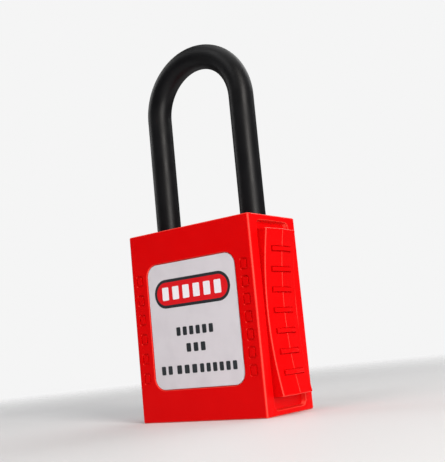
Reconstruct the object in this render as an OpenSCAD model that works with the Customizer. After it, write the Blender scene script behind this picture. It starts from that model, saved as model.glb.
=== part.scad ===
// Safety padlock: moulded nylon case, insulated shackle, six-pin core and two locking balls.
// Sizes are in millimetres. The origin is the middle of the underside, +Z is up, -Y is the front.
// The lock is drawn shut with its plug turned to open, so both balls are drawn back.

/* [Case] */
// Width across the flat margins of the two sides
case_w = 36.4; // [36:0.1:40]
// Depth from the front face to the back face
case_d = 19; // [18.5:0.5:22]
// Height from the underside to the top face
case_h = 45; // [44.5:0.5:50]
// Radius of the four upright edges
edge_r = 0.6; // [0.3:0.1:1]

/* [Labels] */
// Width of each label
label_w = 26.2; // [20:0.1:28]
// Height of each label
label_h = 29.5; // [20:0.5:34]
// Height of the labels' middle above the underside
label_z = 22.3; // [20:0.1:24]
// Corner radius of the labels
label_r = 2.8; // [1:0.1:4]
// Thickness of the labels
label_t = 0.35; // [0.2:0.05:0.5]

/* [Side grips] */
// Width of the recess in each side, front to back
recess_d = 12.8; // [12:0.1:13]
// Depth of the recess below the margins
recess_t = 1; // [0.5:0.1:1.2]
// Width of each grip pad, front to back
pad_d = 12; // [8:0.5:12]
// Distance from the middle of the case to the pad's ridge at its waist
ridge_x = 19.05; // [18.8:0.05:19.5]
// Slope of the pad on each side of its ridge, in degrees
pad_slope = 5; // [2:1:16]
// Radius of the hollow curve of the pad, top to bottom
pad_arc_r = 92; // [80:1:140]
// Number of grip ribs on each pad
rib_count = 7; // [3:1:9]

/* [Shackle] */
// Diameter of the shackle rod
rod_d = 6; // [5:0.1:6]
// Distance between the centres of the two legs
leg_gap = 26; // [26:0.1:26.4]
// Clear height inside the closed shackle
clear_h = 40; // [30:1:80]
// How far the shackle lifts
lift = 15; // [14:0.5:15]

/* [Locking] */
// Diameter of the locking balls
ball_d = 5.5; // [5:0.1:5.6]
// Height of the balls' centres above the underside
ball_z = 36; // [35.5:0.1:36.5]
// Distance from the middle to a ball's centre when locked
ball_out = 8.95; // [8.8:0.05:9]
// Travel of the ball in the toe leg
toe_travel = 1.9; // [1.7:0.1:1.9]
// Travel of the ball in the heel leg
heel_travel = 1.2; // [1:0.1:1.3]

/* [Core] */
// Diameter of the plug
plug_d = 10; // [9.6:0.1:10]
// Diameter of the pins
pin_d = 2.4; // [2:0.1:2.4]
// Distance from one pin to the next
pin_pitch = 3.3; // [3:0.1:3.3]
// Depth of each key cut, from the lowest pin up, in steps
bitting = [2, 4, 1, 3, 0, 3]; // [0:1:4]
// Height of one step of a key cut
cut_step = 0.5; // [0.3:0.05:0.5]

/* [Hidden] */
PINS = [1:6];
$fn = 64;
eps = 0.01;
// How far a cutting shape runs past what it cuts
over = 1;

// Fits
run_gap = 0.1;
snug_gap = 0.05;
tap_gap = 0.02;
seat_gap = 0.15;
hair_gap = 0.03;

// Case interior
cover_t = 1.6;
cover_w = 32.4;
cover_d = 15;
cover_r = 1;
peg_r = 1.5;
peg_h = 5.9;
peg_x = -12.5;
peg_y = 3.5;
peg_room = 0.4;
side_x = case_w / 2;
recess_x = side_x - recess_t;
recess_bevel = 0.3;
recess_z0 = 1.2;
recess_z1 = case_h - 1.4;
label_recess_t = 0.5;
label_gap = 0.15;

// Grip pads
pad_z0 = 4.1;
pad_z1 = 41.5;
pad_mid_z = 23.3;
pad_root = 0.3;
pad_block_x = 22.5;
rib_h = 0.35;
rib_w = 0.9;
rib_half_l = 3.8;
rib_root = 1;
rib_cross = 0.2;
rib_z0 = 9.2;
rib_z1 = 36.9;

// Shackle
rod_r = rod_d / 2;
leg_x = leg_gap / 2;
bend_z = case_h + clear_h + rod_r - leg_x;
leg_tip = 0.7;
toe_z = 31.6;
heel_z = 17.5;
toe_floor_z = 29.4;
heel_floor_z = 16;
notch_r = ball_d / 2 + seat_gap;
lifted_z = ball_z - lift;
flat_depth = 0.65;
neck_depth = 0.8;

// Core and plug
plug_r = plug_d / 2;
plug_z = 0.3;
flange_r = 5.8;
flange_z = cover_t - snug_gap;
core_z0 = cover_t + snug_gap;
core_z1 = 27;
core_left = 6.7;
core_right = 12.6;
core_half_d = 6.6;
lug_right = 15.2;
lug_half_d = 4;
lug_z = 22.9;
pin_z0 = 5;
pin_r = pin_d / 2;
pin_hole_r = pin_r + snug_gap;
key_pin_end = plug_r - 0.2;
key_pin_min = 3.6;
pin_tip = 0.8;
pin_point_r = pin_r / 3;
driver_x = plug_r + 0.12;
driver_l = 2;
keyway_top = 24;
keyway_y0 = -4.3;
keyway_y1 = 1.7;
keyway_half_w = 1;
ward_low_x = 0.4;
ward_low_y = -2.6;
ward_high_x = -0.3;
ward_high_y = 0.2;
strip_x = 12;
strip_t = core_right - strip_x;
strip_half_w = 1.6;
strip_z0 = 2.6;
strip_z1 = 22.6;
clip_seat_z = 25.4;
clip_seat_r = 6.2;
clip_t = 0.6;
clip_z = clip_seat_z + 0.08;
clip_opening = [[0, 0], [-4, -9], [4, -9]];
clip_inner_r = 4.35;
clip_outer_r = 5.9;
groove_r = 4.3;
shaft_z = 26.5;
tongue_w = 7;
tongue_t = 2;
tongue_z = 30.3;
screw_r = 1.5;
screw_head_r = 2.5;
screw_head_h = 1.6;
screw_z = 23.4;
screw_room = 0.3;
socket_r = 1.3;
socket_floor = 0.4;

// Cam
cam_room_r = 6.5;
cam_room_z = 39.9;
cam_disc_r = 6.35;
cam_z0 = core_z1 + 0.25;
cam_disc_z = 32.4;
cam_z1 = 39.6;
cam_slot_room = 0.3;
ball_r = ball_d / 2;
cam_r = ball_out - ball_r - snug_gap;
cam_turn = 90;
cam_step = 3;
sweep_step = 2;

// Springs
spring_r = 0.85;
wire_r = 0.16;
spring_turns = 5;
ring_steps = 10;
ring_sides = 5;

function pin_z(i) = pin_z0 + (i - 1) * pin_pitch;
function key_pin_l(i) = key_pin_min + bitting[i - 1] * cut_step;

// How far the pad's hollow curve stands out from its waist at a height
function pad_sag(z) = pad_arc_r - sqrt(pow(pad_arc_r, 2) - pow(z - pad_mid_z, 2));

// A rectangle with round corners, about the origin
module round_rect(w, d, r) {
    square([w - 2 * r, d], center = true);
    square([w, d - 2 * r], center = true);
    for (x = [-1, 1], y = [-1, 1]) translate([x * (w / 2 - r), y * (d / 2 - r)]) circle(r = r);
}

// A part and its mirror image across a plane through the origin
module both(axis) {
    children();
    mirror(axis) children();
}

// Half of a grip pad, from its ridge to its edge at +Y
module pad_half() {
    difference() {
        translate([recess_x - pad_root, 0, pad_z0])
            cube([pad_block_x - recess_x, pad_d / 2, pad_z1 - pad_z0]);
        translate([ridge_x, 0, pad_mid_z]) rotate([0, 0, pad_slope])
            translate([pad_arc_r, pad_d, 0]) rotate([90, 0, 0])
                cylinder(r = pad_arc_r, h = 2 * pad_d, $fn = 180);
    }
    for (i = [0:rib_count - 1]) {
        z = rib_z0 + i * (rib_z1 - rib_z0) / (rib_count - 1);
        translate([ridge_x + pad_sag(z), 0, z]) rotate([0, 0, pad_slope])
            translate([-rib_root, -rib_cross, -rib_w / 2])
                cube([rib_root + rib_h, rib_cross + rib_half_l, rib_w]);
    }
}

// The recess in the +X side, with sloping front and back walls
module side_recess() {
    translate([0, 0, recess_z0]) linear_extrude(recess_z1 - recess_z0) polygon([
        [recess_x, -recess_d / 2 + recess_bevel],
        [side_x + eps, -recess_d / 2],
        [side_x + eps, recess_d / 2],
        [recess_x, recess_d / 2 - recess_bevel]
    ]);
}

module label_recess() {
    translate([0, -case_d / 2 + label_recess_t, label_z]) rotate([90, 0, 0])
        linear_extrude(label_recess_t + eps)
            round_rect(label_w + 2 * label_gap, label_h + 2 * label_gap, label_r + label_gap);
}

module case() {
    color("#d0101a") difference() {
        union() {
            difference() {
                linear_extrude(case_h) round_rect(case_w, case_d, edge_r);
                both([1, 0, 0]) side_recess();
            }
            both([1, 0, 0]) both([0, 1, 0]) pad_half();
        }
        both([0, 1, 0]) label_recess();
        // Holes for the two legs, and the channel that joins them for the balls
        translate([leg_x, 0, toe_floor_z]) cylinder(r = rod_r + run_gap, h = case_h);
        translate([-leg_x, 0, heel_floor_z]) cylinder(r = rod_r + run_gap, h = case_h);
        translate([-leg_x + over, 0, ball_z]) rotate([0, 90, 0])
            cylinder(r = ball_r + run_gap, h = leg_gap - 2 * over);
        // Rooms for the cam, the core and the cover
        translate([0, 0, core_z1 - eps]) cylinder(r = cam_room_r, h = cam_room_z - core_z1 + eps);
        translate([-core_left - run_gap, -core_half_d - run_gap, cover_t - eps])
            cube([core_left + lug_right + 2 * run_gap, 2 * (core_half_d + run_gap), core_z1 - cover_t + eps]);
        translate([0, 0, -eps]) linear_extrude(cover_t + eps)
            round_rect(cover_w + 2 * run_gap, cover_d + 2 * run_gap, cover_r);
        both([0, 1, 0]) translate([peg_x, peg_y, 0])
            cylinder(r = peg_r + tap_gap, h = cover_t + peg_h + peg_room);
        translate([leg_x, 0, core_z1 - over])
            cylinder(r = screw_r + run_gap, h = toe_floor_z - core_z1 + 2 * over);
    }
}

module bottom_cover() {
    color("#c00f18") {
        difference() {
            linear_extrude(cover_t) round_rect(cover_w, cover_d, cover_r);
            translate([0, 0, -over]) cylinder(r = flange_r + 2 * run_gap, h = cover_t + 2 * over);
        }
        both([0, 1, 0]) translate([peg_x, peg_y, cover_t - over]) cylinder(r = peg_r, h = over + peg_h);
    }
}

module label_plate() {
    translate([0, -case_d / 2 + label_recess_t, label_z]) rotate([90, 0, 0])
        linear_extrude(label_t) round_rect(label_w, label_h, label_r);
}

module front_label() {
    color("#d6d0d6") label_plate();
}

module back_label() {
    color("#d6d0d6") mirror([0, 1, 0]) label_plate();
}

// A straight leg on the axis x, from its chamfered tip up to the bend
module leg(x, z0) {
    translate([x, 0, z0]) cylinder(r1 = rod_r - leg_tip, r2 = rod_r, h = leg_tip);
    translate([x, 0, z0 + leg_tip]) cylinder(r = rod_r, h = bend_z - z0 - leg_tip);
}

// The seat that a locked ball enters, across a leg
module ball_seat(x, z) {
    translate([x, rod_d, z]) rotate([90, 0, 0]) cylinder(r = notch_r, h = 2 * rod_d);
}

module shackle() {
    color("#1c1c1e") difference() {
        union() {
            leg(leg_x, toe_z);
            leg(-leg_x, heel_z);
            translate([0, 0, bend_z]) rotate([90, 0, 0])
                rotate_extrude(angle = 180) translate([leg_x, 0]) circle(r = rod_r);
        }
        ball_seat(ball_out, ball_z);
        ball_seat(-ball_out, ball_z);
        ball_seat(-ball_out, lifted_z);
        // Flat that the heel ball slides along while the shackle lifts
        translate([-leg_x + rod_r - flat_depth, -rod_d, lifted_z])
            cube([rod_d, 2 * rod_d, ball_z - lifted_z]);
        // Neck that lets the lifted shackle swing about its heel leg
        translate([-leg_x, 0, lifted_z])
            rotate_extrude() translate([rod_r - neck_depth + notch_r, 0]) circle(r = notch_r);
    }
}

module lock_core() {
    color("#b9bcc0") difference() {
        union() {
            translate([-core_left, -core_half_d, core_z0])
                cube([core_left + core_right, 2 * core_half_d, core_z1 - core_z0]);
            translate([core_right - over, -lug_half_d, lug_z])
                cube([lug_right - core_right + over, 2 * lug_half_d, core_z1 - lug_z]);
        }
        cylinder(r = plug_r + snug_gap, h = case_h);
        translate([0, 0, clip_seat_z]) cylinder(r = clip_seat_r, h = case_h);
        for (i = PINS) translate([0, 0, pin_z(i)]) rotate([0, 90, 0]) cylinder(r = pin_hole_r, h = case_w);
        translate([strip_x, -strip_half_w - tap_gap, strip_z0 - tap_gap])
            cube([case_w, 2 * (strip_half_w + tap_gap), strip_z1 - strip_z0 + 2 * tap_gap]);
        translate([leg_x, 0, screw_z - screw_room]) cylinder(r = screw_r + tap_gap, h = case_h);
    }
}

module core_screw() {
    color("#8f9297") difference() {
        union() {
            translate([leg_x, 0, screw_z]) cylinder(r = screw_r, h = toe_floor_z - screw_z);
            translate([leg_x, 0, toe_floor_z]) cylinder(r = screw_head_r, h = screw_head_h);
        }
        // Hexagon socket
        translate([leg_x, 0, toe_floor_z + socket_floor]) cylinder(r = socket_r, h = screw_head_h, $fn = 6);
    }
}

module plug() {
    color("#c9a24a") difference() {
        union() {
            translate([0, 0, plug_z]) cylinder(r = flange_r, h = flange_z - plug_z);
            translate([0, 0, plug_z]) cylinder(r = plug_r, h = shaft_z - plug_z);
            translate([-tongue_w / 2, -tongue_t / 2, shaft_z - over])
                cube([tongue_w, tongue_t, tongue_z - shaft_z + over]);
        }
        // Keyway with a ward on each side
        linear_extrude(keyway_top) polygon([
            [-keyway_half_w, keyway_y0], [ward_low_x, keyway_y0],
            [ward_low_x, ward_low_y], [keyway_half_w, ward_low_y],
            [keyway_half_w, keyway_y1], [ward_high_x, keyway_y1],
            [ward_high_x, ward_high_y], [-keyway_half_w, ward_high_y]
        ]);
        for (i = PINS) translate([0, plug_r + over, pin_z(i)]) rotate([90, 0, 0])
            cylinder(r = pin_hole_r, h = plug_r + 3 * over);
        translate([0, 0, clip_seat_z + hair_gap]) difference() {
            cylinder(r = plug_r + over, h = clip_t + run_gap);
            translate([0, 0, -over]) cylinder(r = groove_r, h = clip_t + 3 * over);
        }
    }
}

module plug_clip() {
    color("#75787d") translate([0, 0, clip_z]) linear_extrude(clip_t) difference() {
        circle(r = clip_outer_r);
        circle(r = clip_inner_r);
        polygon(clip_opening);
    }
}

// Distance from the axis at which a ray at angle a meets the ball whose centre is at (d, f)
function ray_hit(a, d, f) =
    let (side = d * sin(a - f), along = d * cos(a - f))
    abs(side) < ball_r + snug_gap && along > 0
        ? along - sqrt(pow(ball_r + snug_gap, 2) - side * side)
        : cam_r;

// Radius of the cam at angle a: the full radius, less what each ball sweeps as the cam turns
function cam_radius(a) = min([for (f = [0:sweep_step:cam_turn]) min(
    cam_r,
    ray_hit(a, ball_out - toe_travel * (1 - f / cam_turn), f),
    ray_hit(a, ball_out - heel_travel * (1 - f / cam_turn), f + 180)
)]);

module cam() {
    color("#a8abb0") difference() {
        union() {
            translate([0, 0, cam_z0]) cylinder(r = cam_disc_r, h = cam_disc_z - cam_z0);
            translate([0, 0, cam_disc_z]) linear_extrude(cam_z1 - cam_disc_z)
                polygon([for (a = [0:cam_step:360 - cam_step]) cam_radius(a) * [cos(a), sin(a)]]);
        }
        translate([-tongue_w / 2 - snug_gap, -tongue_t / 2 - snug_gap, cam_z0 - over])
            cube([
                tongue_w + 2 * snug_gap, tongue_t + 2 * snug_gap,
                tongue_z - cam_z0 + over + cam_slot_room
            ]);
    }
}

module toe_ball() {
    color("#dfe1e4") translate([ball_out - toe_travel, 0, ball_z]) sphere(r = ball_r);
}

module heel_ball() {
    color("#dfe1e4") translate([heel_travel - ball_out, 0, ball_z]) sphere(r = ball_r);
}

module chamber_cover() {
    color("#c9a24a") translate([strip_x, -strip_half_w, strip_z0])
        cube([strip_t, 2 * strip_half_w, strip_z1 - strip_z0]);
}

// A key pin with its point on the key and its flat end at the plug's surface
module key_pin(i) {
    color("#cda955") translate([0, key_pin_end, pin_z(i)]) rotate([90, 0, 0]) {
        cylinder(r = pin_r, h = key_pin_l(i) - pin_tip);
        translate([0, 0, key_pin_l(i) - pin_tip]) cylinder(r1 = pin_r, r2 = pin_point_r, h = pin_tip);
    }
}

module driver_pin(i) {
    color("#b8bbbf") translate([driver_x, 0, pin_z(i)]) rotate([0, 90, 0]) cylinder(r = pin_r, h = driver_l);
}

// Points of one ring of the spring's wire, at turn fraction t of a spring of length l
function spring_ring(t, l) = [for (k = [0:ring_sides - 1])
    let (a = 360 * k / ring_sides, r = spring_r + wire_r * cos(a), turn = 360 * spring_turns * t)
    [r * cos(turn), r * sin(turn), wire_r + t * (l - 2 * wire_r) + wire_r * sin(a)]
];

module coil_spring(l) {
    rings = spring_turns * ring_steps;
    points = [for (j = [0:rings]) each spring_ring(j / rings, l)];
    ends = [[for (k = [0:ring_sides - 1]) k], [for (k = [ring_sides - 1:-1:0]) rings * ring_sides + k]];
    sides = [for (j = [0:rings - 1], k = [0:ring_sides - 1])
        let (a = j * ring_sides + k, b = j * ring_sides + (k + 1) % ring_sides)
        each [[a, a + ring_sides, b], [b, a + ring_sides, b + ring_sides]]
    ];
    polyhedron(points, concat(ends, sides));
}

module pin_spring(i) {
    color("#9da0a5") translate([driver_x + driver_l, 0, pin_z(i)]) rotate([0, 90, 0])
        coil_spring(strip_x - driver_x - driver_l);
}

case();
bottom_cover();
front_label();
back_label();
shackle();
lock_core();
core_screw();
plug();
plug_clip();
cam();
toe_ball();
heel_ball();
chamber_cover();
for (i = PINS) key_pin(i);
for (i = PINS) driver_pin(i);
for (i = PINS) pin_spring(i);
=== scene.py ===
"""Safety padlock: red moulded case, black insulated shackle, printed labels and a six-pin core.

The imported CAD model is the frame. This script adds the visible finish around it: the moulded case
with its rounded edges and grip pads, the swept shackle, the printed labels, the turned plug and the
coiled pin springs, and it dresses the CAD pieces that stay. Sizes are in millimetres unless a line
says otherwise, and everything is made in the shared frame, in its place.
"""

import logging
import math
from collections.abc import Callable, Iterable, Sequence
from dataclasses import dataclass, field
from enum import Enum

import bmesh
import bpy
from mathutils import Matrix, Vector


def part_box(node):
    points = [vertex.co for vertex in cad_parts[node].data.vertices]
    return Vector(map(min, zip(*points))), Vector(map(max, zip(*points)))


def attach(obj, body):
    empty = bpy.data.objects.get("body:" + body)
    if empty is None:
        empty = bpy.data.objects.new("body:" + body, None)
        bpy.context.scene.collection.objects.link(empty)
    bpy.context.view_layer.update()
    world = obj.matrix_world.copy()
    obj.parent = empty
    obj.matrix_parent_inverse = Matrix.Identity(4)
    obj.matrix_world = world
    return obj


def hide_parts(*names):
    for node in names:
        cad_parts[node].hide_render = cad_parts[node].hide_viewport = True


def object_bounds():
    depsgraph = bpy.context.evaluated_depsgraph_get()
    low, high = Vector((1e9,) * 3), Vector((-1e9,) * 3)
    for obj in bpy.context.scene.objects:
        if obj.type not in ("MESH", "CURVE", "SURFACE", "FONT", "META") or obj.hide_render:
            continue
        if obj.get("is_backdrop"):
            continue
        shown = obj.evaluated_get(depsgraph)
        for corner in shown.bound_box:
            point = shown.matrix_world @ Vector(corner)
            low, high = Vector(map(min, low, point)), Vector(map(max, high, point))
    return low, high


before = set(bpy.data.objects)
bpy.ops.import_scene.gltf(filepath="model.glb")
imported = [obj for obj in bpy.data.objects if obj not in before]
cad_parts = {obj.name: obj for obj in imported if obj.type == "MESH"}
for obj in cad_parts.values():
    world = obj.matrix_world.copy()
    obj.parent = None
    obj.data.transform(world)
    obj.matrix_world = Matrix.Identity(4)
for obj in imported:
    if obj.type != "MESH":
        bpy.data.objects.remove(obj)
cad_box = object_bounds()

LOG = logging.getLogger("padlock")
MM = 0.001
ORIGIN = (0, 0, 0)
# Straight edges in a rounded rim, and in each corner of a printed bar or a moulded frame
RIM_STEPS = 4
# How far a solid runs past the face that it opens, or into the one that it grows from, in millimetres
PAST = 1.0
# How strongly a rounded edge's shading follows the flat faces beside it, out of 100
FLATS_FIRST = 100
# Distance between two rings of a wave texture at a scale of 1
WAVE_PERIOD = math.pi / 10

Piece = bpy.types.Object
Material = bpy.types.Material
Tree = bpy.types.NodeTree
Node = bpy.types.Node
Socket = bpy.types.NodeSocket
Place = Sequence[float]
Point = tuple[float, float]
Outline = list[Point]
Layer = tuple[Outline, float]
Shape = Callable[[float], Outline]


class Facing(Enum):
    """A face of the padlock, as its outward axis. Shapes are drawn on it with V as its upright."""

    UP = (0, 0, 1)
    FRONT = (0, -1, 0)
    BACK = (0, 1, 0)
    RIGHT = (1, 0, 0)
    LEFT = (-1, 0, 0)

    def matrix(self, at: Place = ORIGIN) -> Matrix:
        """The matrix that takes (along U, along V, outwards) to the shared frame.

        Args:
            at: where the drawing's own origin goes, in millimetres.

        Returns:
            A 4x4 matrix in millimetres.
        """
        out = Vector(self.value)
        upright = Vector((0, self.value[2], 0)) if self.value[2] else Vector((0, 0, 1))
        turned = Matrix((upright.cross(out), upright, out)).transposed().to_4x4()
        return Matrix.Translation(at) @ turned


class Join(Enum):
    """How a second solid changes the first."""

    ADD = "UNION"
    CUT = "DIFFERENCE"


# ---------------------------------------------------------------- drawing and solids


def circle(radius: float, steps: int = 64) -> Outline:
    """Points of a circle about the origin, anticlockwise."""
    turns = (2 * math.pi * i / steps for i in range(steps))
    return [(radius * math.cos(a), radius * math.sin(a)) for a in turns]


def rounded(width: float, height: float, radius: float, steps: int = 8) -> Outline:
    """Points of a rectangle with round corners about the origin, anticlockwise.

    Args:
        width: size along U.
        height: size along V.
        radius: radius of the corners.
        steps: straight edges in each corner.

    Returns:
        The outline's points.
    """
    points = []
    for quarter, (u, v) in enumerate(((1, 1), (-1, 1), (-1, -1), (1, -1))):
        for i in range(steps + 1):
            angle = (quarter + i / steps) * math.pi / 2
            points.append((
                u * (width / 2 - radius) + radius * math.cos(angle),
                v * (height / 2 - radius) + radius * math.sin(angle),
            ))
    return points


def growing_circle(radius: float, steps: int = 64) -> Shape:
    """A circle, as a shape that can be grown by a distance."""
    return lambda grow: circle(radius + grow, steps)


def growing_box(width: float, height: float, radius: float, steps: int = 8) -> Shape:
    """A rectangle with round corners, as a shape that can be grown by a distance."""
    return lambda grow: rounded(width + 2 * grow, height + 2 * grow, radius + grow, steps)


def rim(shape: Shape, radius: float, level: float, grow: int, face: int = 1) -> list[Layer]:
    """Layers that round the edge between a wall and a flat face.

    Args:
        shape: gives the outline grown by a distance.
        radius: radius of the rounded edge.
        level: height of the flat face.
        grow: 1 where the outline opens towards the face, as a hole does, -1 where it closes in.
        face: 1 for a face at the top of the wall, -1 for one at its foot.

    Returns:
        The layers, from the lowest to the highest.
    """
    layers = []
    for i in range(RIM_STEPS + 1):
        angle = i / RIM_STEPS * math.pi / 2
        inset, below = radius * (1 - math.cos(angle)), radius * (1 - math.sin(angle))
        layers.append((shape(grow * inset), level - face * below))
    return layers[::face]


def new_piece(name: str, points: Iterable[Place], faces: Sequence[Sequence[int]]) -> Piece:
    """Makes a mesh object at the origin from points in millimetres.

    Args:
        name: the piece's name.
        points: its points.
        faces: its faces, as indices of points.

    Returns:
        The new object.
    """
    mesh = bpy.data.meshes.new(name)
    mesh.from_pydata([Vector(p) * MM for p in points], [], faces)
    piece = bpy.data.objects.new(name, mesh)
    bpy.context.scene.collection.objects.link(piece)
    return piece


def solid(name: str, layers: Sequence[Layer], facing: Facing = Facing.UP, at: Place = ORIGIN) -> Piece:
    """Makes a closed solid from outlines stacked outwards.

    Args:
        name: the piece's name.
        layers: outlines with as many points each, and their levels, from the lowest up.
        facing: the axis that they are stacked along.
        at: where the drawing's origin goes, in millimetres.

    Returns:
        The new object.
    """
    place = facing.matrix(at)
    count = len(layers[0][0])
    points = [place @ Vector((u, v, level)) for outline, level in layers for u, v in outline]
    faces = [list(reversed(range(count))), [(len(layers) - 1) * count + i for i in range(count)]]
    for row in range(len(layers) - 1):
        for i in range(count):
            a, b = row * count + i, row * count + (i + 1) % count
            faces.append([a, b, b + count, a + count])
    return new_piece(name, points, faces)


def combine(piece: Piece, tool: Piece, how: Join) -> None:
    """Adds a second solid to a piece, or cuts it out, and removes the second one.

    Args:
        piece: the solid to change.
        tool: the solid to add or to cut out.
        how: whether to add or to cut.
    """
    modifier = piece.modifiers.new("join", "BOOLEAN")
    modifier.operation = how.value
    modifier.solver = "MANIFOLD"
    modifier.object = tool
    bake(piece)
    bpy.data.objects.remove(tool)


def bake(piece: Piece) -> None:
    """Turns a piece's modifiers into its plain mesh.

    Args:
        piece: the piece, with its modifiers.
    """
    seen = piece.evaluated_get(bpy.context.evaluated_depsgraph_get())
    old, new = piece.data, bpy.data.meshes.new_from_object(seen)
    piece.modifiers.clear()
    piece.data = new
    new.name = piece.name
    bpy.data.meshes.remove(old)


def smooth(piece: Piece, sharp: float = 32) -> None:
    """Shades a piece smooth up to an angle in degrees, with its large faces kept flat.

    Args:
        piece: the piece to shade.
        sharp: the angle between two faces, in degrees, past which their edge stays sharp.
    """
    piece.data.shade_smooth()
    piece.data.set_sharp_from_angle(angle=math.radians(sharp))
    weighted = piece.modifiers.new("flats", "WEIGHTED_NORMAL")
    weighted.keep_sharp = True
    weighted.weight = FLATS_FIRST
    bake(piece)


def dress(piece: Piece, material: Material) -> None:
    """Gives the whole piece one material.

    Args:
        piece: the piece to dress.
        material: its material.
    """
    piece.data.materials.clear()
    piece.data.materials.append(material)
    piece.data.polygons.foreach_set("material_index", [0] * len(piece.data.polygons))


def settle(piece: Piece, body: str, slot: str, *nodes: str) -> None:
    """Hands a finished piece over to the frame.

    Args:
        piece: the finished piece, in place.
        body: the CAD body that it moves with.
        slot: not used.
        nodes: the CAD nodes that it stands for.
    """
    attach(piece, body)
    if nodes:
        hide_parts(*nodes)
    LOG.info("%s rides on %s, %d faces", piece.name, body, len(piece.data.polygons))


# ---------------------------------------------------------------- nodes and finishes


def linear(colour: str) -> tuple[float, float, float, float]:
    """Turns an sRGB hex colour, such as "#d0101a", to linear RGBA.

    Args:
        colour: the colour, with its number sign.

    Returns:
        Red, green, blue and alpha.
    """
    parts = [int(colour[i : i + 2], 16) / 255 for i in (1, 3, 5)]
    red, green, blue = (c / 12.92 if c <= 0.04045 else ((c + 0.055) / 1.055) ** 2.4 for c in parts)
    return red, green, blue, 1.0


def add(tree: Tree, kind: str, *given: object) -> Node:
    """Adds a node with its settings and links.

    Args:
        tree: the tree to add to.
        kind: the node's type, with its operation after a colon where it has one.
        given: one dict of attributes and inputs, by name or place, or the inputs themselves in turn.
            A socket is linked, and anything else is set.

    Returns:
        The new node.
    """
    kind, _, operation = kind.partition(":")
    node = tree.nodes.new(kind)
    if operation:
        node.operation = operation
    named = given[0] if given and isinstance(given[0], dict) else dict(enumerate(given))
    for key, value in named.items():
        if isinstance(value, Socket):
            tree.links.new(value, node.inputs[key])
        elif isinstance(key, str) and hasattr(node, key):
            setattr(node, key, value)
        else:
            node.inputs[key].default_value = value
    return node


@dataclass(frozen=True)
class Patches:
    """Soft uneven patches: their size in millimetres, and where in the noise they start and are full."""

    size: float
    detail: float
    start: float = 0.0
    full: float = 1.0

    def mask(self, tree: Tree, place: Socket, least: float = 0.0, most: float = 1.0) -> Socket:
        """Adds a mask that rises from between the patches to inside them.

        Args:
            tree: the material's tree.
            place: the coordinates that the patches lie in.
            least: the mask's value between the patches.
            most: its value inside them.

        Returns:
            The mask.
        """
        settings = {"Scale": 1 / (self.size * MM), "Detail": self.detail, "Vector": place}
        noise = add(tree, "ShaderNodeTexNoise", settings).outputs[0]
        levels = (noise, self.start, self.full, least, most)
        return add(tree, "ShaderNodeMapRange", *levels).outputs[0]


@dataclass(frozen=True)
class Relief:
    """Fine uneven relief: its grain and its depth in millimetres."""

    grain: float
    depth: float
    detail: float = 2.0
    rough: float = 0.5
    strength: float = 1.0

    def press(self, tree: Tree, shader: Node, place: Socket) -> None:
        """Presses the relief into a surface as bump.

        Args:
            tree: the material's tree.
            shader: the surface's shader.
            place: the coordinates that the grain lies in.
        """
        settings = {"Scale": 1 / (self.grain * MM), "Detail": self.detail, "Roughness": self.rough}
        height = add(tree, "ShaderNodeTexNoise", {**settings, "Vector": place}).outputs[0]
        settings = {"Strength": self.strength, "Distance": self.depth * MM}
        bump = add(tree, "ShaderNodeBump", {**settings, "Height": height}).outputs[0]
        tree.links.new(bump, shader.inputs["Normal"])


@dataclass(frozen=True)
class Finish:
    """A surface: its colour, how it shines, and the marks that its making and use leave on it."""

    name: str
    colour: str
    roughness: float
    ior: float = 1.5
    metallic: float = 0.0

    def material(self) -> Material:
        """Builds the material: the shader first, then the pattern of this kind of finish.

        Returns:
            The new material.
        """
        material = bpy.data.materials.new(self.name)
        material.use_nodes = True
        tree = material.node_tree
        tree.nodes.clear()
        settings = {"Base Color": linear(self.colour), "Roughness": self.roughness, "Metallic": self.metallic}
        if not self.metallic:
            settings["IOR"] = self.ior
        shader = add(tree, "ShaderNodeBsdfPrincipled", settings)
        add(tree, "ShaderNodeOutputMaterial", shader.outputs["BSDF"])
        self.pattern(tree, shader, add(tree, "ShaderNodeTexCoord").outputs["Object"])
        return material

    def pattern(self, tree: Tree, shader: Node, place: Socket) -> None:
        """Adds nothing here; each kind of finish adds its own pattern."""

    def tint(self, tree: Tree, shader: Node, other: str, mask: Socket) -> None:
        """Mixes another colour into the surface where a mask is white.

        Args:
            tree: the material's tree.
            shader: the surface's shader.
            other: the colour to mix in.
            mask: how much of it shows.
        """
        base = shader.inputs["Base Color"]
        own = base.links[0].from_socket if base.is_linked else linear(self.colour)
        # Of a Mix node's inputs and outputs, 6, 7 and 2 are the ones for colours
        settings = {"data_type": "RGBA", "Factor": mask, 6: own, 7: linear(other)}
        tree.links.new(add(tree, "ShaderNodeMix", settings).outputs[2], base)

    def vary(self, tree: Tree, shader: Node, mask: Socket) -> None:
        """Lets the roughness follow a mask."""
        tree.links.new(mask, shader.inputs["Roughness"])


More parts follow.
